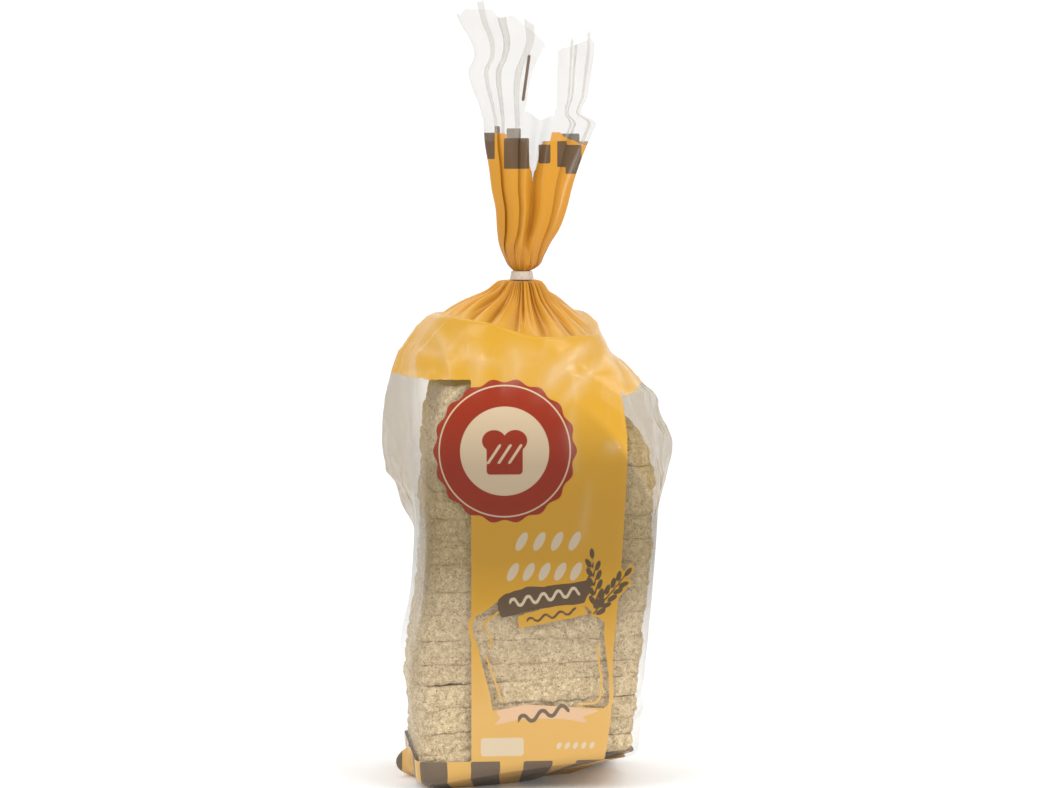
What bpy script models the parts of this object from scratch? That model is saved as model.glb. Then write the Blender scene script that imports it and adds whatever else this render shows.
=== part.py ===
"""A crustless sliced loaf standing on its end in a film bag, gathered at the neck and tied.

The bag is one closed solid and the band round its neck is a second one.
Sizes are in millimetres and become metres when the meshes are made. The front faces -Y and +Z is up.
"""

import math
import random

import bpy
import numpy as np

MM = 0.001

# Columns run round the bag: column 0 is the middle of the left side, then come the front,
# the right and the back.
PLEATS = 14
COLUMNS_PER_PLEAT = 6
COLUMNS = PLEATS * COLUMNS_PER_PLEAT
HALF = COLUMNS // 2

# The film round the loaf by height: reach to the left and right, wing on the left and right,
# depth to the front and back, and the radius of the corners.
BODY = [
    (0, 61.6, 52.2, 0, 0, 57, 57, 10),
    (12, 63.2, 52.8, 0, 0, 58, 58, 10),
    (30, 63.2, 54.3, 0, 0, 58, 58, 10),
    (52, 65.4, 55.3, 0, 0, 58, 58, 10),
    (70, 64.9, 56.9, 0, 0, 58, 58, 10),
    (90, 60.8, 59.5, 0, 0, 58, 58, 10),
    (114, 58.4, 61.6, 0.5, 0.5, 58, 58, 10),
    (133, 57.4, 62.8, 3.4, 2.4, 58, 58, 10),
    (146, 57.2, 63.1, 10.2, 6.7, 58, 58, 10),
    (158, 56.7, 63.6, 15.7, 9.5, 58, 58, 10),
    (171, 56.7, 62.6, 20.7, 13.3, 58, 58, 10),
    (177.5, 57.2, 62.1, 20.9, 14.7, 58, 58, 10),
    (190, 58.1, 59.6, 18.8, 12, 58, 58, 11),
    (203, 58.9, 55.4, 16.5, 10.9, 57.5, 58, 14),
    (216, 59.1, 47.9, 13.5, 6.6, 57, 56.5, 22),
    (228, 57.3, 37.4, 10.6, 5.4, 55.5, 54, 30),
    (238, 50.9, 33, 10.1, 5, 54, 52.5, 34),
    (248, 43.8, 31, 7.2, 5, 53, 51, 34),
]
WING_CURVE = 1.25
BODY_HEIGHTS = [24, 38, 52, 66, 80, 94, 108, 121, 133, 140, 147, 154, 162, 170, 177.5, 184, 191,
                198, 204, 210, 216]

# The base: how far its edge is lifted off the floor round the bag, from the left side by the front.
BASE_LIFT = [(0, 0), (0.1, 2), (0.14, 4), (0.2, 8), (0.25, 11), (0.31, 14), (0.38, 17), (0.5, 11),
             (0.62, 2), (0.75, 0), (1, 0)]
BASE_INSET = 6.0
BASE_SLOPE = 2.5
BASE_ROUND = [(5.0, 0.0), (1.5, 1.5), (0.0, 5.0)]
EAR_REACH = 8.0
EAR_HEIGHTS = (-2.0, 16.0)

# The fold along the top of the walls, by its height round the bag, and how far it stands above
# the film behind it.
LIP_HEIGHT = [(0, 246), (0.13, 246.3), (0.2, 243.5), (0.27, 237.5), (0.36, 237), (0.43, 238), (0.5, 242),
              (0.58, 246), (0.66, 247), (0.8, 246), (1, 246)]
LIP_RIDGE = [(0, 0.6), (0.13, 2), (0.26, 3.4), (0.39, 2.8), (0.5, 0.6), (0.75, 2), (1, 0.6)]
SHOULDER_ROWS = 4
LIP_INSET = 1.0
RIDGE_INSET = 4.5

# The gathered cone between the fold and the neck.
CONE_ROWS = 9
CONE_RISE = 1.15
CONE_SWELL = 0.19
CONE_SWELL_AT = 0.82
CONE_SWELL_WIDTH = 0.12
CONE_PLEAT = 4.4
NECK_CENTRE = -3.4
NECK_RADIUS = 4.4
NECK_FLUTE = 0.6
NECK_HEIGHTS = [263.9, 265.1, 267.1, 269.0]

# The tail above the band: height, left edge, right edge and half depth.
TAIL = [
    (269, -7.8, 1.2, 4.4),
    (270.6, -10.4, 5.4, 6),
    (276.9, -14.8, 9.6, 9),
    (283.3, -15.9, 13.3, 10.5),
    (289.6, -16.5, 15.9, 11.5),
    (302.4, -17.5, 20.8, 12.5),
    (311, -19.3, 22.9, 13),
    (324, -21, 26.9, 13.5),
    (336.6, -23.1, 31.8, 13.5),
    (346, -23.7, 36, 12.5),
]
TAIL_HEIGHTS = [270.8, 273.8, 278, 284, 291, 300, 311, 323, 335, 346]
TAIL_FLUTE = 3.4
FLAT_BY = 290.0

# Where the tail parts in two: the columns of its notch, and each lobe by height, left edge,
# right edge and lean.
NOTCH = (19, 24)
NOTCH_AT = (-0.5, 13.5)
LEFT_LOBE = [
    (346, -23.7, -0.5, 0),
    (356, -26, 0, -1),
    (368, -30.7, 1.8, -2),
    (375, -31.8, 3.6, -2.6),
    (381, -29, 6, -3),
    (389.6, -30.5, 10.5, -3.6),
    (400, -36.5, 12, -4.3),
    (412, -41, 14, -5),
]
RIGHT_LOBE = [
    (346, 13.5, 36, 0),
    (350.5, 14, 29.3, 0.5),
    (361, 15, 31.7, 2),
    (374, 15.3, 34, 3.5),
    (386, 16, 35.4, 4.6),
    (397, 17, 35.6, 5.5),
]
# The cut mouth across each lobe: share of the lobe's width and height.
LEFT_MOUTH = [(0, 405), (0.1, 411), (0.38, 412), (0.43, 407.5), (0.58, 409), (1, 389.6)]
RIGHT_MOUTH = [(0, 386), (0.15, 389.6), (0.6, 394.5), (0.9, 396.6), (1, 393.5)]
LOBE_ROWS = 8
LOBE_DEPTH = 6.5
LOBE_FLUTE = 2.8
LOBE_EDGE = 0.9

# The band: a strip wound round the neck, wider below, with its end lapped over the front.
TIE_HEIGHTS = (264.4, 268.8)
TIE_INNER = 4.8
TIE_THICKNESS = 0.75
TIE_FLARE = 0.8
TIE_LAP = 0.45
TIE_LAP_ANGLES = (-150, -60)
TIE_SEGMENTS = 48

BAG_COLOUR = (0.84, 0.45, 0.09, 1)
TIE_COLOUR = (0.72, 0.68, 0.64, 1)


def smooth(table, at):
    """The values that a smooth curve through the table's rows has at one place."""
    rows = np.array(table, float)
    keys = rows[:, 0]
    values = rows[:, 1:]
    slopes = np.gradient(values, keys, axis=0)
    at = min(max(at, keys[0]), keys[-1])
    low = min(int(np.searchsorted(keys, at, side="right")) - 1, len(keys) - 2)
    span = keys[low + 1] - keys[low]
    part = (at - keys[low]) / span
    rise = part * part * (3 - 2 * part)
    start = span * (part - 2 * part ** 2 + part ** 3)
    end = span * (part ** 3 - part ** 2)
    return (1 - rise) * values[low] + rise * values[low + 1] + start * slopes[low] + end * slopes[low + 1]


def straight(table, at):
    """The value that straight lines through a table of pairs have at one place."""
    keys, values = zip(*table)
    return float(np.interp(at, keys, values))


def ease(at, start, end):
    """A soft step from 0 at start to 1 at end."""
    part = min(max((at - start) / (end - start), 0), 1)
    return part * part * (3 - 2 * part)


def blend(first, second, share):
    return first + (second - first) * share


def half_place(column):
    """A column's share of the way from the left side to the right, and -1 on the front or 1 on the back."""
    if column <= HALF:
        return column / HALF, -1
    return (COLUMNS - column) / HALF, 1


def half_loop(share, left, right, depth, radius):
    """A point on half a rounded rectangle, from the middle of its left side to the middle of its right."""
    side = depth - radius
    arc = math.pi * radius / 2
    face = left + right - 2 * radius
    run = share * (2 * side + 2 * arc + face)
    if run < side:
        return -left, run
    run -= side
    if run < arc:
        turn = run / radius
        return -left + radius * (1 - math.cos(turn)), side + radius * math.sin(turn)
    run -= arc
    if run < face:
        return -left + radius + run, depth
    run -= face
    if run < arc:
        turn = run / radius
        return right - radius * (1 - math.sin(turn)), side + radius * math.cos(turn)
    return right, side - (run - arc)


def wall_point(column, height, inset=0.0):
    """Where a column of the film stands at a height, drawn in from the wall by an inset."""
    left, right, wing_left, wing_right, front, back, radius = smooth(BODY, height)
    share, facing = half_place(column)
    depth = front if facing < 0 else back
    x, y = half_loop(share, left - inset, right - inset, depth - inset, max(radius - inset, 2.0))
    wing = wing_left if share < 0.5 else wing_right
    reach = wing * max(1 - y / (depth - inset), 0) ** WING_CURVE
    return x + (-reach if share < 0.5 else reach), facing * y


def pleat_wave(column):
    """1 on the ridge of a pleat and -1 half-way to the next."""
    part = (column % COLUMNS_PER_PLEAT) / COLUMNS_PER_PLEAT
    return 2 * abs(2 * part - 1) ** 1.2 - 1


def pleat_strengths():
    """One strength for each pleat, uneven as in gathered film."""
    draw = random.Random(11)
    return [draw.uniform(0.65, 1.2) for _ in range(PLEATS)]


STRENGTHS = pleat_strengths()


def pleat_strength(column):
    """A column's strength, blended between the ridges on its two sides."""
    place = column / COLUMNS_PER_PLEAT
    low = int(place) % PLEATS
    return blend(STRENGTHS[low], STRENGTHS[(low + 1) % PLEATS], place - int(place))


def base_rows():
    """The edge of the flat patch on the floor, and the rounded edge up to the walls."""
    lifts = [float(smooth(BASE_LIFT, column / COLUMNS)[0]) for column in range(COLUMNS)]
    patch = []
    for column, lift in enumerate(lifts):
        x, y = wall_point(column, 0, BASE_INSET + BASE_SLOPE * lift)
        patch.append((x, y, 0))
    rows = [patch]
    for inset, rise in BASE_ROUND:
        row = []
        for column, lift in enumerate(lifts):
            x, y = wall_point(column, rise, inset)
            height = max(lift + rise, 0.25)
            row.append((x + ear_reach(column, height), y, height))
        rows.append(row)
    return rows


def ear_reach(column, height):
    """How far the end of the bottom seal stands out, in the middle of each side."""
    if column not in (0, HALF):
        return 0.0
    low, high = EAR_HEIGHTS
    share = min(max((height - low) / (high - low), 0), 1)
    reach = EAR_REACH * math.sin(math.pi * share) ** 0.7 if 0 < share < 1 else 0.0
    return -reach if column == 0 else reach


def wall_rows():
    """The walls from the base to the shoulder, with the seal's ears near the bottom."""
    rows = []
    for height in [10, 15] + BODY_HEIGHTS:
        row = []
        for column in range(COLUMNS):
            x, y = wall_point(column, height)
            row.append((x + ear_reach(column, height), y, height))
        rows.append(row)
    return rows


def lip_height(column):
    return float(smooth(LIP_HEIGHT, column / COLUMNS)[0])


def shoulder_rows():
    """The top of the walls, up to the fold and over it."""
    rows = []
    for step in range(1, SHOULDER_ROWS + 1):
        row = []
        for column in range(COLUMNS):
            height = blend(BODY_HEIGHTS[-1], lip_height(column) - 1.5, step / SHOULDER_ROWS)
            x, y = wall_point(column, height)
            row.append((x, y, height))
        rows.append(row)
    fold = []
    behind = []
    for column in range(COLUMNS):
        height = lip_height(column)
        x, y = wall_point(column, height, LIP_INSET)
        fold.append((x, y, height))
        x, y = wall_point(column, height, RIDGE_INSET)
        behind.append((x, y, height - float(smooth(LIP_RIDGE, column / COLUMNS)[0])))
    return rows + [fold, behind]


def neck_point(column, height):
    """The gathered film inside the band."""
    share, facing = half_place(column)
    radius = NECK_RADIUS - NECK_FLUTE * (1 - pleat_wave(column)) / 2
    x = NECK_CENTRE - radius * math.cos(math.pi * share)
    y = facing * radius * math.sin(math.pi * share)
    return x, y, height


def cone_rise(share):
    """How far up the cone the film is at a share of its way in: it swells out just below the band."""
    swell = CONE_SWELL * math.exp(-((share - CONE_SWELL_AT) / CONE_SWELL_WIDTH) ** 2)
    return share ** CONE_RISE * (1 + swell)


def cone_rows(start_row):
    """The pleated film that runs in from the fold to the neck."""
    rows = []
    for step in range(1, CONE_ROWS + 1):
        share = step / (CONE_ROWS + 1)
        amount = CONE_PLEAT * math.sin(math.pi * share) * (1 - 0.55 * share)
        row = []
        for column in range(COLUMNS):
            x0, y0, z0 = start_row[column]
            x1, y1, z1 = neck_point(column, NECK_HEIGHTS[0])
            x = blend(x0, x1, share)
            y = blend(y0, y1, share)
            z = blend(z0, z1, cone_rise(share))
            lift = amount * pleat_wave(column) * pleat_strength(column)
            distance = math.hypot(x - NECK_CENTRE, y)
            outward = lift * share ** 2
            x += outward * (x - NECK_CENTRE) / distance
            y += outward * y / distance
            row.append((x, y, z + lift * (1 - share ** 2)))
        rows.append(row)
    return rows


def neck_rows():
    return [[neck_point(column, height) for column in range(COLUMNS)] for height in NECK_HEIGHTS]


def tail_share(share):
    """How far across the flat tail a column stands: the notch is wider than its few columns."""
    left, right = TAIL[-1][1:3]
    places = [(at - left) / (right - left) for at in NOTCH_AT]
    return straight([(0, 0), (NOTCH[0] / HALF, places[0]), (NOTCH[1] / HALF, places[1]), (1, 1)], share)


def tail_rows():
    """The tail from the band up to the notch, round at first and then flat and fluted."""
    rows = []
    for height in TAIL_HEIGHTS:
        left, right, depth = smooth(TAIL, height)
        flat = ease(height, TAIL[0][0], FLAT_BY)
        flute = blend(NECK_FLUTE, TAIL_FLUTE, flat)
        row = []
        for column in range(COLUMNS):
            share, facing = half_place(column)
            round_share = (1 - math.cos(math.pi * share)) / 2
            x = blend(left, right, blend(round_share, tail_share(share), flat))
            swell = math.sin(math.pi * share) ** blend(1, 0.5, flat)
            groove = flute * pleat_strength(column) * (1 - pleat_wave(column)) / 2
            y = facing * swell * (depth - groove)
            row.append((x, y, height))
        rows.append(row)
    return rows


def lobe_point(column, step, lobe, mouth, first, last):
    """A point of a lobe, on the column's way from the notch's height up to the cut mouth."""
    share, facing = half_place(column)
    across = (share * HALF - first) / (last - first)
    rise = step / LOBE_ROWS
    height = blend(lobe[0][0], straight(mouth, across), rise)
    left, right, lean = smooth(lobe, height)
    x = blend(left, right, across)
    swell = math.sin(math.pi * share) ** 0.5 * TAIL[-1][3]
    own = LOBE_EDGE + (LOBE_DEPTH - LOBE_EDGE) * math.sin(math.pi * min(max(across, 0), 1)) ** 0.5
    own = own if 0 < column % HALF else 0.0
    depth = blend(swell, own, ease(rise, 0, 0.35))
    flute = blend(TAIL_FLUTE, LOBE_FLUTE, ease(rise, 0, 0.35)) * min(depth / LOBE_DEPTH, 1)
    groove = flute * pleat_strength(column) * (1 - pleat_wave(column)) / 2
    return x, facing * (depth - groove) + lean, height


def side_columns(first, last):
    """The columns between two of the front's, with those behind them."""
    front = list(range(first, last + 1))
    back = [COLUMNS - column for column in front if column not in (0, HALF)]
    return front + back


def add_tube(rows, vertices, faces):
    """Joins each row to the next all the way round, and gives the grid of vertex numbers."""
    grid = []
    for row in rows:
        grid.append(list(range(len(vertices), len(vertices) + COLUMNS)))
        vertices.extend(row)
    for lower, upper in zip(grid, grid[1:]):
        for column in range(COLUMNS):
            after = (column + 1) % COLUMNS
            faces.append((lower[column], lower[after], upper[after], upper[column]))
    return grid


def add_lobe(base, lobe, mouth, first, last, vertices, faces):
    """Adds a lobe above the tube's last row, and gives its vertex numbers by row and column."""
    columns = side_columns(first, last)
    grid = [{column: base[column] for column in columns}]
    for step in range(1, LOBE_ROWS + 1):
        row = {}
        for column in columns:
            row[column] = len(vertices)
            vertices.append(lobe_point(column, step, lobe, mouth, first, last))
        grid.append(row)
    for lower, upper in zip(grid, grid[1:]):
        for column in range(first, last):
            faces.append((lower[column], lower[column + 1], upper[column + 1], upper[column]))
            back = COLUMNS - column - 1
            after = (back + 1) % COLUMNS
            faces.append((lower[back], lower[after], upper[after], upper[back]))
    return grid


def close_mouth(base, left, right, faces):
    """Joins the front and back edges along the lobes' mouths, their inner edges and the notch."""
    top = LOBE_ROWS
    path = [(left, top, column) for column in range(NOTCH[0] + 1)]
    path += [(left, step, NOTCH[0]) for step in range(top - 1, -1, -1)]
    path += [([base], 0, column) for column in range(NOTCH[0] + 1, NOTCH[1])]
    path += [(right, step, NOTCH[1]) for step in range(top + 1)]
    path += [(right, top, column) for column in range(NOTCH[1] + 1, HALF + 1)]
    pairs = [(grid[step][column], grid[step][(COLUMNS - column) % COLUMNS]) for grid, step, column in path]
    for (front, back), (next_front, next_back) in zip(pairs, pairs[1:]):
        corners = list(dict.fromkeys((front, next_front, next_back, back)))
        faces.append(tuple(corners))


def make_material(name, colour, roughness):
    """A plain finish in one colour."""
    material = bpy.data.materials.new(name)
    material.use_nodes = True
    shader = material.node_tree.nodes["Principled BSDF"]
    shader.inputs["Base Color"].default_value = colour
    shader.inputs["Roughness"].default_value = roughness
    shader.inputs["Metallic"].default_value = 0.0
    return material


def make_object(name, vertices, faces, material, sharp_angle):
    """Makes one object from a mesh in millimetres, shaded smooth except at its sharp edges."""
    mesh = bpy.data.meshes.new(name)
    mesh.from_pydata([(x * MM, y * MM, z * MM) for x, y, z in vertices], [], faces)
    mesh.validate()
    mesh.update()
    mesh.shade_smooth()
    mesh.set_sharp_from_angle(angle=math.radians(sharp_angle))
    mesh.materials.append(material)
    thing = bpy.data.objects.new(name, mesh)
    bpy.context.scene.collection.objects.link(thing)
    return thing


def bag_shape():
    """The bag's vertices and faces, with its box centred over the origin."""
    vertices = []
    faces = []
    shoulder = shoulder_rows()
    rows = base_rows() + wall_rows() + shoulder + cone_rows(shoulder[-1]) + neck_rows() + tail_rows()
    grid = add_tube(rows, vertices, faces)
    faces.append(tuple(reversed(grid[0])))
    left = add_lobe(grid[-1], LEFT_LOBE, LEFT_MOUTH, 0, NOTCH[0], vertices, faces)
    right = add_lobe(grid[-1], RIGHT_LOBE, RIGHT_MOUTH, NOTCH[1], HALF, vertices, faces)
    close_mouth(grid[-1], left, right, faces)
    return vertices, faces


def tie_ring(turn):
    """The band's cross-section at one angle round the neck, from its inner bottom corner outwards."""
    low, high = TIE_HEIGHTS
    start, end = TIE_LAP_ANGLES
    angle = math.degrees(turn)
    lap = TIE_LAP * ease(angle, start - 6, start) * (1 - ease(angle, end, end + 6))
    outer = TIE_INNER + TIE_THICKNESS + lap
    radii = [(TIE_INNER, low), (outer + TIE_FLARE, low), (outer, high), (TIE_INNER, high)]
    return [(NECK_CENTRE + r * math.cos(turn), r * math.sin(turn), z) for r, z in radii]


def tie_shape():
    vertices = []
    faces = []
    for segment in range(TIE_SEGMENTS):
        vertices.extend(tie_ring(2 * math.pi * segment / TIE_SEGMENTS - math.pi))
    for segment in range(TIE_SEGMENTS):
        here = 4 * segment
        there = 4 * ((segment + 1) % TIE_SEGMENTS)
        for corner in range(4):
            after = (corner + 1) % 4
            faces.append((here + corner, there + corner, there + after, here + after))
    return vertices, faces


def centred(vertices, centre):
    return [(x - centre[0], y - centre[1], z) for x, y, z in vertices]


def clear_scene():
    for thing in list(bpy.data.objects):
        bpy.data.objects.remove(thing)


def build():
    clear_scene()
    bag_vertices, bag_faces = bag_shape()
    tie_vertices, tie_faces = tie_shape()
    places = np.array(bag_vertices)
    centre = (places.min(axis=0) + places.max(axis=0)) / 2
    film = make_material("printed film", BAG_COLOUR, 0.3)
    band = make_material("band", TIE_COLOUR, 0.5)
    make_object("bag", centred(bag_vertices, centre), bag_faces, film, 40)
    make_object("tie", centred(tie_vertices, centre), tie_faces, band, 30)


build()
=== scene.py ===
import math

import bpy
import numpy as np
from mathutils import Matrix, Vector


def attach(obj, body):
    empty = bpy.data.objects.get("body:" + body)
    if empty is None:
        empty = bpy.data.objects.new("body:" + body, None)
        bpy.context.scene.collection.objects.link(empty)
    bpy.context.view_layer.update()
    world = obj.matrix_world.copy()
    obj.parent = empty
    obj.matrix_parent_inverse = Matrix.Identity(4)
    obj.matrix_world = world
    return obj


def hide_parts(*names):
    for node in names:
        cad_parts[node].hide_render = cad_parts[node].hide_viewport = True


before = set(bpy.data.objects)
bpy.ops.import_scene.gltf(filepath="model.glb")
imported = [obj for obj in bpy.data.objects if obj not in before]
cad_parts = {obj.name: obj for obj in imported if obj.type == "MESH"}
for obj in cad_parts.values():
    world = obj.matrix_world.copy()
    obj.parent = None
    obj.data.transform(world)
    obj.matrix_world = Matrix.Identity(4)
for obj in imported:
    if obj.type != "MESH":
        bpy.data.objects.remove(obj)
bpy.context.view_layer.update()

MM = 0.001

# The photo's view.
FRAME_PIXELS = (1054, 788)
PIXELS_PER_MM = 1.885
VIEW_AZIMUTH = -5.0
VIEW_ELEVATION = 4.0
VIEW_DISTANCE = 2200.0
VIEW_HEIGHT = 203.5
SENSOR = 36.0

# The film's columns run up the bag, from the left side by the front to the right side and by the back.
FRONT_COLUMNS = 280
BACK_COLUMNS = 80
WALL_STEP = 1.0

# The film round the loaf by height: reach to the left and right, wing on the left and right,
# depth to the front and back, and the radius of the corners.
BODY = [
    (0, 61.6, 52.2, 0, 0, 57, 57, 10),
    (12, 63.2, 52.8, 0, 0, 58, 58, 10),
    (30, 63.2, 54.3, 0, 0, 58, 58, 10),
    (52, 65.4, 55.3, 0, 0, 58, 58, 10),
    (70, 64.9, 56.9, 0, 0, 58, 58, 10),
    (90, 60.8, 59.5, 0, 0, 58, 58, 10),
    (114, 58.4, 61.6, 0.5, 0.5, 58, 58, 10),
    (133, 57.4, 62.8, 3.4, 2.4, 58, 58, 10),
    (146, 57.2, 63.1, 10.2, 6.7, 58, 58, 10),
    (158, 56.7, 63.6, 15.7, 9.5, 58, 58, 10),
    (171, 56.7, 62.6, 20.7, 13.3, 58, 58, 10),
    (177.5, 57.2, 62.1, 20.9, 14.7, 58, 58, 10),
    (190, 58.1, 59.6, 18.8, 12, 58, 58, 11),
    (203, 58.9, 55.4, 16.5, 10.9, 57.5, 58, 14),
    (216, 59.1, 47.9, 13.5, 6.6, 57, 56.5, 22),
    (228, 57.3, 37.4, 10.6, 5.4, 55.5, 54, 30),
    (238, 50.9, 33, 10.1, 5, 54, 52.5, 34),
    (248, 43.8, 31, 7.2, 5, 53, 51, 34),
]
WIDEST_ROW = 11
WING_CURVE = 1.25
WALL_START = 22.0
SHOULDER_START = 214.0

# The base: how far its edge is lifted off the floor round the bag, from the left side by the front.
BASE_LIFT = [(0, 0), (0.1, 2), (0.14, 4), (0.2, 8), (0.25, 11), (0.31, 14), (0.38, 17), (0.5, 11),
             (0.62, 2), (0.75, 0), (1, 0)]
BASE_INSET = 6.0
BASE_SLOPE = 2.5
BASE_ROUND = 5.0
BASE_RINGS = (0.02, 0.3, 0.55, 0.75, 0.9)
BASE_ARC_ROWS = 7
FLAT_HEIGHT = 0.05
EDGE_HEIGHT = 0.1
MIN_CORNER = 2.0
BASE_SIDE_ROWS = 8
EAR_REACH = 8.0
EAR_HEIGHTS = (-2.0, 16.0)
EAR_WIDTH = 0.012

# The fold along the top of the walls, by its height round the bag, and how far it stands above
# the film behind it.
LIP_HEIGHT = [(0, 246), (0.13, 246.3), (0.2, 243.5), (0.27, 237.5), (0.36, 237), (0.43, 238), (0.5, 242),
              (0.58, 246), (0.66, 247), (0.8, 246), (1, 246)]
LIP_RIDGE = [(0, 0.6), (0.13, 2), (0.26, 3.4), (0.39, 2.8), (0.5, 0.6), (0.75, 2), (1, 0.6)]
SHOULDER_ROWS = 26
# The bend over the fold: where it starts below the top, and its rows by rise and inset.
BEND_START = 1.2
LIP_BEND = [(-0.3, 0.4), (0, 1.0), (-0.35, 1.9)]
RIDGE_INSET = 4.5
# Creases fade out over these rows below the fold.
LIP_ROWS = 4
LIP_FADE_ROWS = 10

# The gathered cone between the fold and the neck, and where the valleys of its pleats run round the bag.
CONE_ROWS = 50
CONE_RISE = 1.15
CONE_SWELL = 0.19
CONE_SWELL_AT = 0.82
CONE_SWELL_WIDTH = 0.12
CONE_PLEAT = 5.0
PLEAT_VALLEYS = [0, 0.085, 0.138, 0.176, 0.24, 0.303, 0.372, 0.45, 0.52, 0.57, 0.64, 0.69, 0.75, 0.8,
                 0.87, 0.93, 1]
MID_PLEATS = 31
MID_PLEAT = 2.3
MID_FROM = (0.12, 0.6)
FINE_PLEATS = 54
FINE_PLEAT = 0.9
FINE_FROM = (0.4, 0.9)
# A pleat's wave runs from 0 to 1. This sets how much of its height is valley.
PLEAT_LEVEL = 1.3
NECK_CENTRE = -3.4
NECK_RADIUS = 4.4
NECK_FLUTE = 0.6
NECK_HEIGHTS = (263.9, 269.0)
NECK_ROWS = 6

# The tail above the band: height, left edge, right edge and half depth.
TAIL = [
    (269, -7.8, 1.2, 4.4),
    (270.6, -9.6, 4.2, 6),
    (276.9, -13.2, 8.4, 8),
    (283.3, -15.6, 11.8, 9.5),
    (289.6, -16.5, 15.9, 10),
    (302.4, -17.5, 20.8, 10.5),
    (311, -19.3, 22.9, 10.5),
    (324, -21, 26.9, 10),
    (336.6, -23.1, 31.8, 9.5),
    (346, -23.7, 36, 9),
]
TAIL_ROWS = 70
FLAT_BY = 292.0
TAIL_SWELL = 0.55
TAIL_RIPPLE = 0.8
# The valley that runs down from the notch: its width as a share of the tail, and its depth.
VALLEY_WIDTH = 0.07
VALLEY_DEPTH = 0.75
NOTCH_AT = (-0.5, 13.5)
SPLIT_HEIGHT = [(0, 346), (0.3, 346), (0.39, 353.5), (0.5, 348.3), (0.62, 351.3), (0.75, 346), (1, 346)]
LEFT_LOBE = [
    (346, -23.7, -0.5, 0),
    (356, -26, 0, -1),
    (368, -30.7, 1.8, -2),
    (375, -31.8, 3.6, -2.6),
    (381, -29, 6, -3),
    (389.6, -30.5, 10.5, -3.6),
    (400, -36.5, 12, -4.3),
    (412, -41, 14, -5),
]
RIGHT_LOBE = [
    (346, 13.5, 36, 0),
    (350.5, 14, 29.3, 0.5),
    (361, 15, 31.7, 2),
    (374, 15.3, 34, 3.5),
    (386, 16, 35.4, 4.6),
    (397, 17, 35.6, 5.5),
]
LEFT_MOUTH = [(0, 405), (0.1, 411), (0.38, 412), (0.43, 407.5), (0.58, 409), (1, 389.6)]
RIGHT_MOUTH = [(0, 386), (0.15, 389.6), (0.6, 394.5), (0.9, 396.6), (1, 393.5)]
LOBE_ROWS = 52
LOBE_THICKNESS = (0.6, 2.6)
LOBE_CURL = 2.2
# The folds of the tail's film as shares of a lobe's width: each sheet runs from one to the next.
FRONT_LEFT_FOLDS = (0, 0.3, 0.23, 0.8, 0.7, 1)
FRONT_RIGHT_FOLDS = (0, 0.4, 0.34, 0.86, 0.79, 1)
BACK_LEFT_FOLDS = (0, 0.52, 0.42, 1)
BACK_RIGHT_FOLDS = (0, 0.56, 0.48, 1)
FOLD_DEPTH = 1.4

# Creases of the slack film, as the front shows them: three places across and up, width and height.
CREASES = [
    ((37, 235), (21, 221), (6, 204), 4.5, 2.2),
    ((44, 226), (30, 212), (16, 196), 3.5, -1.3),
    ((39, 236), (42, 222), (51, 208), 2.2, 1.6),
    ((47, 222), (58, 208), (70, 198), 2.0, 1.4),
    ((51, 203), (62, 203), (69, 198), 2.4, 2.2),
    ((56, 201), (66, 188), (74, 177), 1.4, 1.3),
    ((60, 201), (70, 188), (76, 178), 1.2, -1.1),
    ((52, 200), (60, 186), (67, 172), 2.0, 1.4),
    ((40, 178), (45, 175), (49, 177), 3.0, 1.0),
    ((76, 175), (70, 160), (66, 146), 1.8, 1.2),
    ((66, 190), (69, 170), (67, 150), 1.6, -1.0),
    ((-78, 166), (-71, 160), (-61, 152), 1.8, 1.8),
    ((-75, 160), (-68, 150), (-61, 143), 1.4, -1.4),
    ((-72, 170), (-64, 158), (-60, 146), 2.0, 1.5),
    ((-76, 196), (-73, 184), (-74, 172), 3.0, 1.2),
    ((-66, 208), (-64, 192), (-66, 178), 3.0, -1.2),
    ((-60, 156), (-59, 144), (-59, 126), 1.0, 1.2),
    ((-58, 142), (-59, 128), (-60, 112), 1.2, -0.8),
    ((-52, 240), (-46, 232), (-44, 222), 3.0, 1.2),
    ((-62, 230), (-50, 226), (-38, 228), 3.0, -1.0),
    ((-30, 232), (-26, 220), (-28, 206), 4.0, 0.9),
    ((-8, 230), (-6, 218), (-10, 206), 4.0, 0.8),
    ((24, 200), (22, 184), (26, 160), 3.0, 0.7),
    ((33, 160), (30, 140), (28, 124), 2.6, 0.6),
    ((-60, 52), (-57, 34), (-52, 12), 1.8, 1.4),
    ((-57, 56), (-54, 36), (-48, 14), 1.6, -1.2),
    ((-63, 60), (-62, 40), (-60, 22), 1.6, 1.0),
    ((68, 52), (60, 36), (50, 24), 2.0, 1.4),
    ((62, 50), (56, 38), (52, 26), 1.6, -1.0),
    ((64, 80), (62, 60), (60, 44), 1.6, 1.0),
]
CREASE_FADE = 0.6
WRINKLE_SIZES = (13, 6)
RIPPLE_SIZES = (24, 11)
# The film is slack beside the loaf and above a height that falls away to the right.
SLACK_ABOVE = 205.0
SLACK_FALL = 0.016
SLACK_WIDTH = 9.0

# The slices: a stack that leans, tilts, droops at its top corners and is lifted at its front edge.
SLICES = 16
SLICE_SIZE = (116.0, 112.0)
SLICE_CORNER = 8.0
STACK = (2.0, 213.0)
STACK_ROOM = 1.5
STACK_TILT = 0.012
DROOP_START = 155.0
LEFT_DROOP = (8.0, -2.0)
RIGHT_DROOP = (-6.0, -15.0)
FRONT_LIFT = [(-57, 5.5), (-28, 10.5), (-5, 13.5), (22, 16.5), (50, 19.5)]
SLICE_GAP = -0.6
CRUMB_STEP = 1.0
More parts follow.
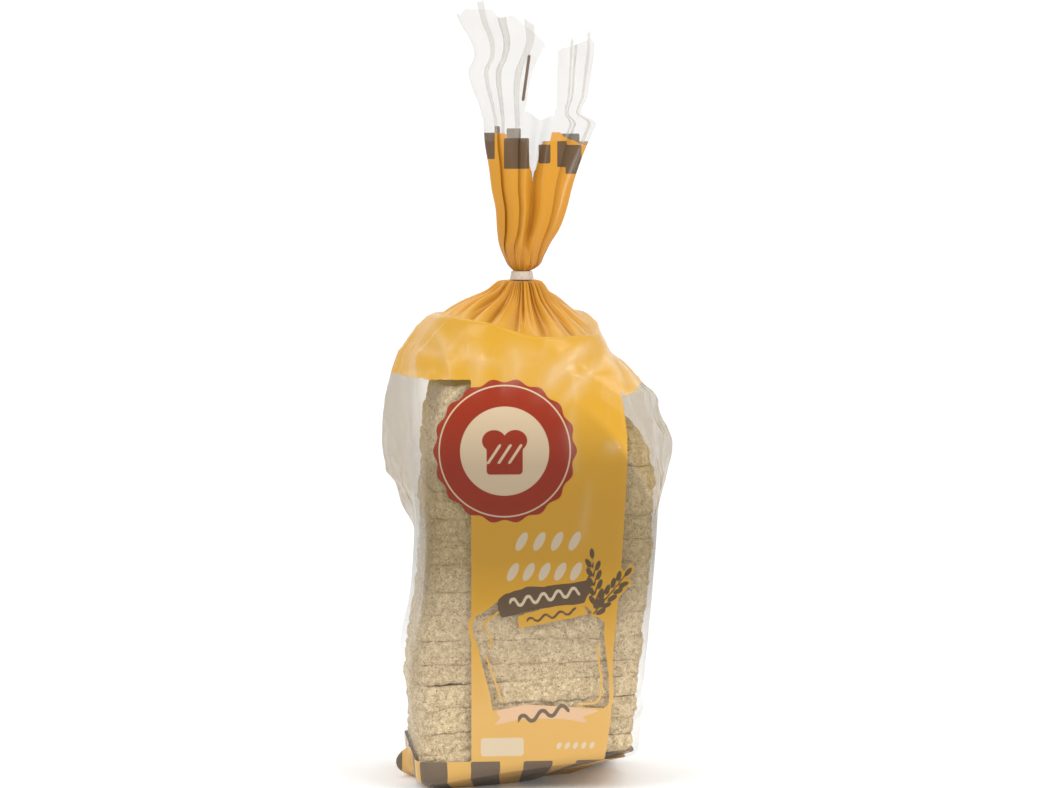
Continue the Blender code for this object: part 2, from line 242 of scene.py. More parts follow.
# How much smaller a slice may be, how far it may stray, how its edges are rounded, and the rings
# and roughness of its faces.
SHRINK = 0.012
STRAY = 0.6
EDGE_ROUND = 0.6
FACE_RINGS = (0.02, 0.5, 0.94)
FACE_ROUGH = 0.3

# Print, in millimetres across and up the front: the check along the bottom and on the seal's ends,
# the panel with its window, the badge, and what stands on the panel.
CHECK_TOP = 16.4
CHECK_PITCH = 27.6
CHECK_SIZE = 15.3
CHECK_START = 0.1
EAR_SHARE = 0.05
LEFT_EAR_BROWN = -67.5
RIGHT_EAR_BROWN = 53.5
PANEL_LEFT = -34.7
PANEL_RIGHT = [(16, 35), (36, 37.8), (54, 38.8), (73, 39.3), (89, 40.9), (114, 43.2), (142, 45),
               (169, 46.5), (185, 46.5), (199, 44.8), (213, 42.6)]
TOP_FIELD = [(-80, 215), (38, 215.2), (46, 206), (62, 210), (115, 209)]
BADGE_CENTRE = (-17.3, 178.0)
BADGE_RADIUS = 36.6
BADGE_SCALLOPS = 18
BADGE_SCALLOP = 0.9
BADGE_RIM = 2.6
BADGE_RIM_RADIUS = 0.38
BADGE_DISC = 13.5
ICON_SIZE = 12.5
# Rows of kernels: height, first place, number, pitch, and half the length and width of one.
KERNEL_ROWS = [
    (131.0, -8.5, 4, 9.2, (5.4, 2.3)),
    (115.2, -13.0, 5, 8.2, (5.2, 2.3)),
    (24.2, 11.0, 5, 4.3, (2.0, 1.2)),
]
KERNEL_LEAN = 62
WINDOW = [(-19.9, 100.6), (-26.7, 95.4), (-32.4, 92.3), (-34.4, 88.1), (-33.9, 82.9), (-31.3, 77.8),
          (-29.8, 69.5), (-27.7, 62.2), (-25.1, 51.8), (-23.5, 43), (-5.8, 45.7), (15, 44.6), (34.3, 43.5),
          (36.9, 45.7), (37.4, 51.8), (36.9, 62.2), (35.4, 72.5), (34.3, 82.9), (34.9, 88.1), (25, 97),
          (0, 100)]
WINDOW_BORDER = 2.0
WINDOW_LINES = [
    [(-20.4, 94.4), (-27.7, 89.2), (-28.2, 86.6), (-24.5, 80.9), (-24.5, 75.7)],
    [(-26.7, 71), (-18.8, 47.7)],
    [(30.7, 76.7), (33.3, 56), (32.3, 48.8), (29.6, 46.2), (21.3, 45.7)],
]
LINE_RADIUS = 0.6
RIBBON = [(-20.3, 100.6), (-16.2, 103.7), (-5.8, 106.9), (9.8, 107.7), (27.5, 110.3), (26.5, 103.7),
          (23.9, 99), (9.8, 97.5), (-5.8, 94.9), (-16.2, 92.3), (-18.8, 91.8), (-20.3, 96)]
SCROLL = [(-9.9, 92.1), (-9.4, 86.2), (10.9, 90), (25.9, 93), (22.8, 98.5), (4.6, 96.3)]
EARS = [((31.2, 95), (28.1, 124.5), 5), ((28.6, 92.8), (47, 114.6), 5)]
KERNEL = (2.8, 1.25)
KERNEL_ASIDE = 2.4
KERNEL_TURN = 26
EAR_MARGIN = 0.8
PENNANT = [(-21.9, 42.5), (-6.8, 45.9), (15, 44.2), (31.7, 42.3), (22.9, 39.2), (26, 36.1), (13, 38.4),
           (-6.8, 38.9), (-22.4, 35.6), (-19.3, 39.2)]
# Waving lines: from and to, height at the start, slope, wave height, wave number and half thickness.
RIBBON_WAVE = (-15, 22, 98.8, 0.17, 2.0, 0.8, 0.75)
SCROLL_WAVE = (-6, 20, 89.6, 0.2, 1.2, 0.8, 0.65)
PENNANT_WAVE = (-10.5, 16.5, 37.6, 0.24, 2.0, 0.62, 1.0)
LABEL_CENTRE = (-18.6, 23.9)
LABEL_SIZE = (22.4, 9.5)
# Print on the tail, in millimetres across and up the picture.
TAIL_TOP = [(-23, 341.3), (-12, 341), (-11, 338.9), (0.5, 337.5), (5, 334.5), (11.5, 337), (12.5, 341.5),
            (17, 341.8), (18.5, 339.5), (28, 335.5), (40, 333)]
CLEAR_NOTCH = [(2.1, 316), (-0.2, 333), (-1, 352), (9.4, 352), (6.8, 333)]
TAIL_MARK = ((0.5, 381.7), (-2.7, 358.9), 0.8)
TAIL_SQUARES = [((-21.0, 334.6), (6.6, 13.9)), ((-6.2, 330.6), (13.3, 16.2)), ((8.6, 330.3), (6.3, 9.9)),
                ((17.8, 330.3), (5.0, 13.7)), ((23.9, 327.5), (8.4, 15.2))]
# The back: half the panel's width, the plain label's middle and size, and the tail's print.
BACK_PANEL = 45.0
BACK_LABEL = ((0, 110), (70, 90))
BACK_TAIL_TOP = 337.0
BACK_SQUARES = [((-7.7, 338.8), (7.5, 10.0)), ((22.3, 337.6), (9.5, 7.0)), ((-16.3, 341.0), (2.8, 8.0))]

# Painted shade by height on the body: how much the film darkens its ink and veils what it lies on with a
# dark tint.
PAINTED_SHADE_BY_HEIGHT = [(0, 0), (40, 0.06), (70, 0.3), (100, 0.7), (122, 1), (150, 1), (170, 0.9), (190, 0.4), (206, 0)]
CLEAR_VEIL = 0.03
PAINTED_SHADE_VEIL = 0.38
SLACK_VEIL = 0.31
TAIL_VEIL = 0.2
# Along creases the film is veiled more, for their whitening and painted highlights.
CREASE_VEIL = 0.15
# Painted pale light over the print by height, strongest at the bottom.
PAINTED_LIGHT_BY_HEIGHT = [(0, 0.12), (45, 0.12), (75, 0.05), (100, 0)]
# How far the loaf's top left edge is drawn in, over a range of heights.
TOP_INSET = (9.0, 160.0, 218.0)
OUTSIDE = -50.0
# How painted shade darkens the pleats' valleys and the low tail, and the rows over which the gathered film
# and the low tail change.
VALLEY_SHARPNESS = 1.5
MID_SHADE = 0.8
TAIL_SHADE = (0.18, 0.25)
GATHER_ROWS = 20
LOW_TAIL_ROWS = 40


# Small tools

def smooth(table, at):
    """A smooth curve through a table's rows: one array for each of the table's values."""
    rows = np.array(table, float)
    keys = rows[:, 0]
    values = rows[:, 1:]
    slopes = np.gradient(values, keys, axis=0)
    at = np.clip(at, keys[0], keys[-1])
    low = np.clip(np.searchsorted(keys, at, side="right") - 1, 0, len(keys) - 2)
    span = (keys[low + 1] - keys[low])[..., None]
    part = (at - keys[low])[..., None] / span
    rise = part * part * (3 - 2 * part)
    start = span * (part - 2 * part ** 2 + part ** 3)
    end = span * (part ** 3 - part ** 2)
    curve = (1 - rise) * values[low] + rise * values[low + 1] + start * slopes[low] + end * slopes[low + 1]
    return np.moveaxis(curve, -1, 0)


def straight(table, at):
    keys, values = zip(*table)
    return np.interp(at, keys, values)


def ease(at, start, end):
    """A soft step from 0 at start to 1 at end."""
    part = np.clip((at - start) / (end - start), 0, 1)
    return part * part * (3 - 2 * part)


def blend(first, second, share):
    return first + (second - first) * share


def arch(share):
    """0 at both ends of a share and 1 in its middle."""
    return np.maximum(np.sin(math.pi * share), 0)


def soft_noise(points, size, seed):
    """Smooth noise from -1 to 1 at points in millimetres, with lumps of one size."""
    cells = 32
    lattice = np.random.default_rng(seed).uniform(-1, 1, (cells, cells, cells))
    scaled = points / size
    base = np.floor(scaled).astype(int)
    part = scaled - base
    part = part * part * (3 - 2 * part)
    total = np.zeros(points.shape[:-1])
    for corner in np.ndindex(2, 2, 2):
        weight = np.prod(np.where(np.array(corner), part, 1 - part), axis=-1)
        index = (base + np.array(corner)) % cells
        total += weight * lattice[index[..., 0], index[..., 1], index[..., 2]]
    return total


def picture_place(points):
    """Where points stand across and up the photo's picture, in millimetres."""
    azimuth = math.radians(VIEW_AZIMUTH)
    elevation = math.radians(VIEW_ELEVATION)
    x, y, z = points[..., 0], points[..., 1], points[..., 2]
    across = x * math.cos(azimuth) + y * math.sin(azimuth)
    back = y * math.cos(azimuth) - x * math.sin(azimuth)
    up = (z - VIEW_HEIGHT) * math.cos(elevation) + back * math.sin(elevation)
    scale = VIEW_DISTANCE / (VIEW_DISTANCE + back)
    return across * scale, VIEW_HEIGHT + up * scale


def segment_distance(u, v, start, end):
    """Distance from places to a line between two points, and the share of the way along it."""
    du, dv = end[0] - start[0], end[1] - start[1]
    share = np.clip(((u - start[0]) * du + (v - start[1]) * dv) / (du * du + dv * dv), 0, 1)
    return np.hypot(u - start[0] - share * du, v - start[1] - share * dv), share


# Film shape

# For each column: its share of the way along its half, which half it is on (-1 front, 1 back), and
# its share of the way round the bag.
SHARE = np.concatenate([np.linspace(0, 1, FRONT_COLUMNS, endpoint=False),
                        np.linspace(1, 0, BACK_COLUMNS, endpoint=False)])
FACING = np.concatenate([-np.ones(FRONT_COLUMNS), np.ones(BACK_COLUMNS)])
TURN = np.where(FACING < 0, SHARE, 2 - SHARE) / 2
COLUMNS = len(SHARE)


def half_loop(share, left, right, depth, radius):
    """Points on half a rounded rectangle, from the middle of its left side to the middle of its right."""
    side = depth - radius
    arc = math.pi * radius / 2
    face = left + right - 2 * radius
    run = share * (2 * side + 2 * arc + face)
    first = np.clip((run - side) / radius, 0, math.pi / 2)
    second = np.clip((run - side - arc - face) / radius, 0, math.pi / 2)
    along = np.clip(run - side - arc, 0, face)
    x = -left + radius * (1 - np.cos(first)) + along + radius * np.sin(second)
    down = np.clip(run - side - 2 * arc - face, 0, None)
    y = np.clip(run, 0, side) + radius * np.sin(first) - radius * (1 - np.cos(second)) - down
    return x, y


def ear_reach(height):
    """How far the ends of the bottom seal stand out, in the middle of each side."""
    low, high = EAR_HEIGHTS
    rise = arch(np.clip((height - low) / (high - low), 0, 1)) ** 0.7
    left = np.minimum(TURN, 1 - TURN) / EAR_WIDTH
    right = np.abs(TURN - 0.5) / EAR_WIDTH
    return EAR_REACH * rise * (np.exp(-right ** 1.2) - np.exp(-left ** 1.2))


def wall_points(height, inset=0.0):
    """The film at heights given for each column, drawn in from the wall by an inset."""
    left, right, wing_left, wing_right, front, back, radius = smooth(BODY, height)
    depth = np.where(FACING < 0, front, back) - inset
    x, y = half_loop(SHARE, left - inset, right - inset, depth, np.maximum(radius - inset, MIN_CORNER))
    wing = np.where(SHARE < 0.5, -wing_left, wing_right)
    reach = wing * np.maximum(1 - y / depth, 0) ** WING_CURVE
    return np.stack([x + reach + ear_reach(height), FACING * y, height + 0 * x], axis=-1)


def base_rows():
    """The film under the loaf, the rounded edge, and the walls just above it."""
    lift = smooth(BASE_LIFT, TURN)[0]
    patch = wall_points(0 * TURN, BASE_INSET + BASE_SLOPE * lift)
    patch[:, 2] = FLAT_HEIGHT
    centre = patch.mean(axis=0)
    rows = [blend(centre, patch, ring) for ring in BASE_RINGS] + [patch]
    for step in range(BASE_ARC_ROWS):
        turn = math.pi / 2 * step / (BASE_ARC_ROWS - 1)
        rise = BASE_ROUND * (1 - math.cos(turn))
        row = wall_points(lift + rise, BASE_ROUND * (1 - math.sin(turn)))
        row[:, 2] = np.maximum(lift + rise, EDGE_HEIGHT)
        rows.append(row)
    low = rows[-1][:, 2]
    for step in range(1, BASE_SIDE_ROWS):
        rows.append(wall_points(blend(low, WALL_START, step / BASE_SIDE_ROWS)))
    return rows


def wall_rows():
    return [wall_points(height + 0 * TURN) for height in np.arange(WALL_START, SHOULDER_START, WALL_STEP)]


def shoulder_rows():
    """The top of the walls, up to the fold and over it."""
    top = smooth(LIP_HEIGHT, TURN)[0]
    rows = []
    for step in range(SHOULDER_ROWS + 1):
        rows.append(wall_points(blend(SHOULDER_START, top - BEND_START, step / SHOULDER_ROWS)))
    for rise, inset in LIP_BEND:
        row = wall_points(top, inset)
        row[:, 2] += rise
        rows.append(row)
    behind = wall_points(top, RIDGE_INSET)
    behind[:, 2] -= smooth(LIP_RIDGE, TURN)[0]
    return rows + [behind]


def pleat_wave(phase):
    """0 in the valley of a pleat and 1 along its broad ridge."""
    return np.abs(np.sin(math.pi * phase)) ** 0.7


def pleat_lift(phase, height, strength=1.0):
    """How far pleats stand out from the cone, below 0 in their valleys."""
    return height * (2 * pleat_wave(phase) - PLEAT_LEVEL) * strength


def uneven_phase(pleats, waves):
    """The number of each column's pleat, for pleats that are wider here and narrower there."""
    phase = TURN * pleats
    for size, number in waves:
        phase = phase + size * np.sin(2 * math.pi * number * TURN)
    return phase


VALLEY_COUNT = len(PLEAT_VALLEYS) - 1
STRENGTHS = np.random.default_rng(5).uniform(0.4, 1.25, VALLEY_COUNT)
MAIN_PHASE = np.interp(TURN, PLEAT_VALLEYS, np.arange(VALLEY_COUNT + 1))
MAIN_STRENGTH = np.interp(MAIN_PHASE, np.arange(VALLEY_COUNT + 1) + 0.5, np.append(STRENGTHS, STRENGTHS[0]))
MID_PHASE = uneven_phase(MID_PLEATS, ((0.6, 3), (0.4, 7)))
MID_STRENGTH = 0.65 + 0.35 * np.sin(2 * math.pi * 9 * TURN + 1)
FINE_PHASE = uneven_phase(FINE_PLEATS, ((0.7, 5), (0.5, 13)))


def neck_points(height):
    radius = NECK_RADIUS - NECK_FLUTE * (1 - pleat_wave(FINE_PHASE))
    x = NECK_CENTRE - radius * np.cos(math.pi * SHARE)
    y = FACING * radius * np.sin(math.pi * SHARE)
    return np.stack([x, y, height + 0 * x], axis=-1)


def cone_rows(start):
    """The pleated film that runs in from the fold to the neck."""
    end = neck_points(NECK_HEIGHTS[0])
    rows = []
    for step in range(1, CONE_ROWS + 1):
        share = step / (CONE_ROWS + 1)
        swell = CONE_SWELL * math.exp(-((share - CONE_SWELL_AT) / CONE_SWELL_WIDTH) ** 2)
        row = blend(start, end, share)
        row[:, 2] = blend(start[:, 2], end[:, 2], share ** CONE_RISE * (1 + swell))
        main = CONE_PLEAT * math.sin(math.pi * share ** 0.8) * (1 - 0.5 * share)
        fine = FINE_PLEAT * float(ease(share, *FINE_FROM)) * math.sin(math.pi * share) ** 0.5
        mid = MID_PLEAT * float(ease(share, *MID_FROM)) * math.sin(math.pi * share) ** 0.6
        lift = pleat_lift(MAIN_PHASE, main, MAIN_STRENGTH) + pleat_lift(FINE_PHASE, fine)
        lift += pleat_lift(MID_PHASE, mid, MID_STRENGTH)
        away = row[:, :2] - np.array([NECK_CENTRE, 0])
        away /= np.linalg.norm(away, axis=1)[:, None]
        row[:, :2] += away * (lift * share ** 2)[:, None]
        row[:, 2] += lift * (1 - share ** 2)
        rows.append(row)
    return rows


def neck_rows():
    return [neck_points(height) for height in np.linspace(*NECK_HEIGHTS, NECK_ROWS)]


NOTCH_SHARES = [(at - TAIL[-1][1]) / (TAIL[-1][2] - TAIL[-1][1]) for at in NOTCH_AT]


def fold_path(left_folds, right_folds):
    """Where a sheet of the tail runs: its film share, its place across, its layer, and the notch's ends."""
    low, high = NOTCH_SHARES
    across = [fold * low for fold in left_folds] + [high + fold * (1 - high) for fold in right_folds]
    lengths = np.abs(np.diff(across))
    film = np.concatenate([[0], np.cumsum(lengths)]) / lengths.sum()
    layers = [0.3]
    for before, here, after in zip(across, across[1:], across[2:]):
        turns_back = here > before and after < here
        turns_on = here < before and after > here
        layers.append(1.0 if turns_back else -1.0 if turns_on else 0.3)
    layers.append(0.3)
    last_left = len(left_folds) - 1
    return film, np.array(across), np.array(layers), (film[last_left], film[last_left + 1])


FRONT_PATH = fold_path(FRONT_LEFT_FOLDS, FRONT_RIGHT_FOLDS)
BACK_PATH = fold_path(BACK_LEFT_FOLDS, BACK_RIGHT_FOLDS)


def sheet_value(index):
    """One value of the sheets' paths for each column."""
    front = np.interp(SHARE, FRONT_PATH[0], FRONT_PATH[index])
    back = np.interp(SHARE, BACK_PATH[0], BACK_PATH[index])
    return np.where(FACING < 0, front, back)


ACROSS = sheet_value(1)
LAYER = sheet_value(2)
IN_LEFT = SHARE <= np.where(FACING < 0, FRONT_PATH[3][0], BACK_PATH[3][0]) + 1e-6
IN_RIGHT = SHARE >= np.where(FACING < 0, FRONT_PATH[3][1], BACK_PATH[3][1]) - 1e-6


def tail_rows():
    """The tail from the band up to where it parts, round at first and then in flat folds."""
    split = straight(SPLIT_HEIGHT, ACROSS)
    middle = sum(NOTCH_SHARES) / 2
    rows = []
    for rise in np.linspace(0, 1, TAIL_ROWS + 1)[1:]:
        height = blend(TAIL[0][0], split, rise)
        left, right, depth = smooth(TAIL, height)
        flat = ease(height, TAIL[0][0], FLAT_BY)
        round_share = (1 - np.cos(math.pi * SHARE)) / 2
        x = blend(left, right, blend(round_share, ACROSS, flat))
        swell = arch(blend(SHARE, ACROSS, flat)) ** blend(1, TAIL_SWELL, flat)
        valley = np.exp(-((ACROSS - middle) / VALLEY_WIDTH) ** 2) * ease(rise, 0.02, 0.3)
        ripple = TAIL_RIPPLE * np.sin(2 * math.pi * (3.1 * ACROSS + 0.4 * FACING)) * (1 - rise) * flat
        flute = NECK_FLUTE * (1 - flat) * (pleat_wave(FINE_PHASE) - 1)
        puffed = swell * (depth - FOLD_DEPTH * flat) * (1 - VALLEY_DEPTH * valley)
        y = FACING * (puffed + LAYER * FOLD_DEPTH * flat + flute + ripple)
        rows.append(np.stack([x, y, height], axis=-1))
    return rows


def lobe_rows(start):
    """The two lobes above the split, each column rising to its own place on the cut mouth."""
    in_left = np.clip(ACROSS / NOTCH_SHARES[0], 0, 1)
    in_right = np.clip((ACROSS - NOTCH_SHARES[1]) / (1 - NOTCH_SHARES[1]), 0, 1)
    mouth = np.where(IN_LEFT, straight(LEFT_MOUTH, in_left), straight(RIGHT_MOUTH, in_right))
    mouth = mouth - np.where(FACING < 0, 0.8 * np.abs(LAYER - 1), 3.5 + 2 * np.sin(9 * ACROSS))
    inside = np.where(IN_LEFT, in_left, in_right)
    edge, swell = LOBE_THICKNESS
    own = edge + swell * arch(inside) ** 0.5
    rows = []
    for step in range(1, LOBE_ROWS + 1):
        rise = step / LOBE_ROWS
        height = blend(start[:, 2], mouth, rise)
        left_low, left_high, left_lean = smooth(LEFT_LOBE, height)
        right_low, right_high, right_lean = smooth(RIGHT_LOBE, height)
        x = np.where(IN_LEFT, blend(left_low, left_high, in_left), blend(right_low, right_high, in_right))
        x = blend(start[:, 0], x, float(ease(rise, 0, 0.12)))
        lean = np.where(IN_LEFT, left_lean, right_lean)
        curl = LOBE_CURL * np.sin(0.16 * (height - LEFT_LOBE[0][0]) + 5 * inside) * rise
        y = FACING * (own + LAYER * FOLD_DEPTH * (0.8 - 0.4 * rise)) + lean + curl
        y = blend(start[:, 1], y, float(ease(rise, 0, 0.35)))
        rows.append(np.stack([x, y, height], axis=-1))
    return rows


def grid_normals(grid):
    """Unit normals of the film's grid, pointing out of the bag."""
    around = np.roll(grid, -1, axis=1) - np.roll(grid, 1, axis=1)
    up = np.gradient(grid, axis=0)
    normals = np.cross(around, up)
    return normals / np.maximum(np.linalg.norm(normals, axis=2), 1e-6)[:, :, None]


def crease_field(across, up):
    """Height of the designed creases, and how strongly the film is creased."""
    height = np.zeros(across.shape)
    strength = np.zeros(across.shape)
    for first, second, third, width, rise in CREASES:
        near = np.full(across.shape, 1e3)
        along = np.zeros(across.shape)
        for part, (start, end) in enumerate(((first, second), (second, third))):
            distance, share = segment_distance(across, up, start, end)
            closer = distance < near
            near = np.where(closer, distance, near)
            along = np.where(closer, (part + share) / 2, along)
        taper = np.sin(math.pi * np.clip(along, 0.02, 0.98)) ** CREASE_FADE
        profile = np.exp(-(near / width) ** 1.4) * taper
        height += rise * profile
        strength = np.maximum(strength, profile * min(abs(rise) / 1.5, 1))
    return height, strength


def loaf_edges(height):
    """The middle and half the width of the loaf at a height."""
    left, right = smooth([row[:3] for row in BODY], height)
    return (right - left) / 2, (left + right) / 2 - STACK_ROOM


def slack(grid):
    """How loose the film is: 0 where it lies on the loaf, 1 in the wings and at the shoulders."""
    x, z = grid[..., 0], grid[..., 2]
    middle, half = loaf_edges(z)
    inset, low, high = TOP_INSET
    beside = np.abs(x - middle) - half - STACK_ROOM + np.where(x < middle, inset * ease(z, low, high), 0)
    above = z - SLACK_ABOVE + SLACK_FALL * np.maximum(x, 0) ** 2
    return ease(np.maximum(beside, above), 0, SLACK_WIDTH)


def sharp_wrinkles(points, size, seed):
    """1 along thin random wrinkles and 0 between them."""
    return np.maximum(1 - 2 * np.abs(soft_noise(points, size, seed)), 0) ** 3


def creased(grid, rows):
    """The body's film moved along its normals by creases, wrinkles and a soft ripple."""
    height, strength = crease_field(*picture_place(grid))
    front = np.where(FACING < 0, 1.0, 0.0)
    loose = slack(grid)
    fade = ease(grid[..., 2], 4, 22) * np.clip((rows - np.arange(len(grid))) / LIP_FADE_ROWS, 0, 1)[:, None]
    wrinkle = sharp_wrinkles(grid * np.array([1, 1, 0.55]), WRINKLE_SIZES[0], 61)
    fine = sharp_wrinkles(grid * np.array([1, 1, 0.7]) + 50, WRINKLE_SIZES[1], 62)
    ripple = soft_noise(grid, RIPPLE_SIZES[0], 63) * 0.7 + soft_noise(grid, RIPPLE_SIZES[1], 64) * 0.3
    move = height * front + loose * (0.8 * wrinkle + 0.2 * fine - 0.4) + (0.2 + 0.6 * loose) * ripple
    # How strongly each place gets the creases' whitening and painted highlights.
    whitening_and_highlight = np.clip(strength * front + 0.3 * wrinkle * loose + 0.1 * fine * loose, 0, 1) * fade
    return grid + grid_normals(grid) * (move * fade)[..., None], whitening_and_highlight


# Print on the film: distances in millimetres, positive inside a shape

def box_shape(u, v, centre, size, radius=0.0):
    du = np.abs(u - centre[0]) - size[0] / 2 + radius
    dv = np.abs(v - centre[1]) - size[1] / 2 + radius
    outside = np.hypot(np.maximum(du, 0), np.maximum(dv, 0)) - radius
    return -(outside + np.minimum(np.maximum(du, dv), 0))


def ellipse_shape(u, v, centre, size, angle=0.0):
    turn = math.radians(angle)
    du = (u - centre[0]) * math.cos(turn) + (v - centre[1]) * math.sin(turn)
    dv = (v - centre[1]) * math.cos(turn) - (u - centre[0]) * math.sin(turn)
    return (1 - np.hypot(du / size[0], dv / size[1])) * min(size)


def polygon_shape(u, v, corners, radius=0.0):
    """Signed distance to a polygon with rounded corners, positive inside."""
    near = np.full(u.shape, 1e3)
    inside = np.zeros(u.shape, bool)
    for start, end in zip(corners, corners[1:] + corners[:1]):
        distance, _ = segment_distance(u, v, start, end)
        near = np.minimum(near, distance)
        if start[1] == end[1]:
            continue
        slope = (end[0] - start[0]) / (end[1] - start[1])
        inside ^= ((start[1] > v) != (end[1] > v)) & (u < start[0] + (v - start[1]) * slope)
    return np.where(inside, near, -near) + radius


def ear_of_wheat(u, v, foot, tip, pairs, size):
    """Kernels in pairs up a stem, with one at its tip."""
    run = np.array(tip) - np.array(foot)
    forward = run / np.hypot(*run)
    aside = np.array([-forward[1], forward[0]])
    angle = math.degrees(math.atan2(run[1], run[0]))
    shape = ellipse_shape(u, v, tip, size, angle)
    for pair in range(pairs):
        along = np.array(foot) + run * (0.12 + 0.82 * pair / pairs)
        for side in (-1, 1):
            centre = along + aside * side * KERNEL_ASIDE + forward * (side + 1) * 0.9
            shape = np.maximum(shape, ellipse_shape(u, v, centre, size, angle + side * KERNEL_TURN))
    stem, _ = segment_distance(u, v, foot, tip)
    return np.maximum(shape, 0.35 - stem)


def slice_icon(u, v, centre, size):
    """A slice of bread with a domed top."""
    shape = box_shape(u, v, (centre[0], centre[1] - 0.1 * size), (1.5 * size, 1.5 * size), 0.15 * size)
    for side in (-1, 1):
        dome = (centre[0] + side * 0.44 * size, centre[1] + 0.55 * size)
        shape = np.maximum(shape, ellipse_shape(u, v, dome, (0.5 * size, 0.45 * size)))
    return shape


def lines_shape(u, v, lines, radius):
    """Lines of one thickness through lists of corners."""
    shape = np.full(u.shape, OUTSIDE)
    for corners in lines:
        for start, end in zip(corners, corners[1:]):
            distance, _ = segment_distance(u, v, start, end)
            shape = np.maximum(shape, radius - distance)
    return shape


def wave_shape(u, v, wave):
    """A waving line between two places across."""
    start, end, height, slope, size, number, radius = wave
    across = u - start
    above = np.abs(v - height - slope * across - size * np.sin(number * across))
    steepness = slope + size * number * np.cos(number * across)
    line = radius - above / np.sqrt(1 + steepness ** 2)
    return np.minimum(line, np.minimum(u - start, end - u))


def badge_shapes(u, v):
    """A scalloped badge, how far places are inside its round, and a scored slice of bread in its middle."""
    du, dv = u - BADGE_CENTRE[0], v - BADGE_CENTRE[1]
    depth = BADGE_RADIUS - np.hypot(du, dv)
    scallops = BADGE_SCALLOP * np.cos(BADGE_SCALLOPS * np.arctan2(dv, du))
    scores = lines_shape(du, dv, [[(offset - 3, -6), (offset + 3, 3)] for offset in (-5.5, 0, 5.5)], 0.7)
    return depth + scallops, depth, np.minimum(slice_icon(du, dv, (0, -1.5), ICON_SIZE), -scores)


def pale_shapes(u, v):
    """Rows of leaning kernels, a wavy line along the ribbon and a plain label."""
    shape = box_shape(u, v, LABEL_CENTRE, LABEL_SIZE, 1.5)
    for height, first, count, pitch, size in KERNEL_ROWS:
        for number in range(count):
            centre = (first + number * pitch, height)
            shape = np.maximum(shape, ellipse_shape(u, v, centre, size, KERNEL_LEAN))
    return np.maximum(shape, wave_shape(u, v, RIBBON_WAVE))


def boxes_shape(u, v, boxes):
    shape = np.full(u.shape, OUTSIDE)
    for centre, size in boxes:
        shape = np.maximum(shape, box_shape(u, v, centre, size))
    return shape


def front_print(u, v, rough):
    """The yellow and the brown of the front."""
    window = polygon_shape(u, v, WINDOW)
    panel = np.minimum(u - PANEL_LEFT, straight(PANEL_RIGHT, v) - u)
    ears = np.full(u.shape, OUTSIDE)
    for foot, tip, pairs in EARS:
        ears = np.maximum(ears, ear_of_wheat(u, v, foot, tip, pairs, KERNEL))
    yellow = np.minimum(np.maximum(panel, window + WINDOW_BORDER), -window)
    yellow = np.maximum(yellow, lines_shape(u, v, WINDOW_LINES, LINE_RADIUS))
    yellow = np.maximum(yellow, v - straight(TOP_FIELD, u) + np.where(u < -50, 2.4 * rough, 0))
    yellow = np.maximum(yellow, polygon_shape(u, v, SCROLL, 0.4) + rough)
    yellow = np.maximum(yellow, ears + EAR_MARGIN)
    brown = np.maximum(polygon_shape(u, v, RIBBON, 0.3) + rough, ears)
    brown = np.maximum(brown, wave_shape(u, v, SCROLL_WAVE))
    brown = np.maximum(brown, wave_shape(u, v, PENNANT_WAVE))
    return yellow, brown


def print_values(grid, starts):
    """The printed shapes at every point of the film."""
    middle = FRONT_COLUMNS // 2
    step = np.linalg.norm(np.diff(grid, axis=1), axis=2)
    run = np.concatenate([np.zeros((len(grid), 1)), np.cumsum(step, axis=1)], axis=1)
    u = run - run[:, middle:middle + 1] + grid[:, middle:middle + 1, 0]
    x, v = grid[:, :, 0], grid[:, :, 2]
    front = np.broadcast_to(FACING < 0, u.shape)
    tail = np.broadcast_to((np.arange(len(grid)) >= starts["neck"])[:, None], u.shape)
    face = front & ~tail
    across, up = picture_place(grid)
    rough = 0.5 * soft_noise(grid, 3.0, 71)

    yellow, brown = front_print(u, v, rough)
    back_top = blend(TOP_FIELD[0][1], TOP_FIELD[-1][1], SHARE)
    back_yellow = np.maximum(BACK_PANEL - np.abs(x), v - back_top)
    check = CHECK_SIZE / 2 - np.abs((u - CHECK_START + CHECK_PITCH / 2) % CHECK_PITCH - CHECK_PITCH / 2)
    left_ear = np.minimum(TURN, 1 - TURN) < EAR_SHARE
    right_ear = np.abs(TURN - 0.5) < EAR_SHARE
    check = np.where(left_ear, LEFT_EAR_BROWN - x, np.where(right_ear, x - RIGHT_EAR_BROWN, check))
    check = np.minimum(check, CHECK_TOP - v)
    ink = np.maximum(np.where(front, yellow, back_yellow), CHECK_TOP - v)
    brown = np.where(front, np.maximum(brown, check), check)
    tail_ink = np.where(front, straight(TAIL_TOP, across) + rough, BACK_TAIL_TOP) - up
    tail_ink = np.minimum(tail_ink, -polygon_shape(across, up, CLEAR_NOTCH) + rough)
    mark = lines_shape(across, up, [TAIL_MARK[:2]], TAIL_MARK[2])
    squares = np.maximum(boxes_shape(across, up, TAIL_SQUARES), mark)
    tail_brown = np.where(front, squares, boxes_shape(across, up, BACK_SQUARES))
    badge, depth, icon = badge_shapes(u, v)
    pale = np.where(front, pale_shapes(u, v), box_shape(x, v, *BACK_LABEL, 4))
    return {
        "ink": np.where(tail, tail_ink, ink),
        "brown": np.where(tail, tail_brown, brown),
        "badge": np.where(face, badge, OUTSIDE),
        "badge_depth": depth,
        "icon": icon,
        "pale": np.where(tail, OUTSIDE, pale),
        "blush": np.where(face, polygon_shape(u, v, PENNANT, 0.2), OUTSIDE),
    }


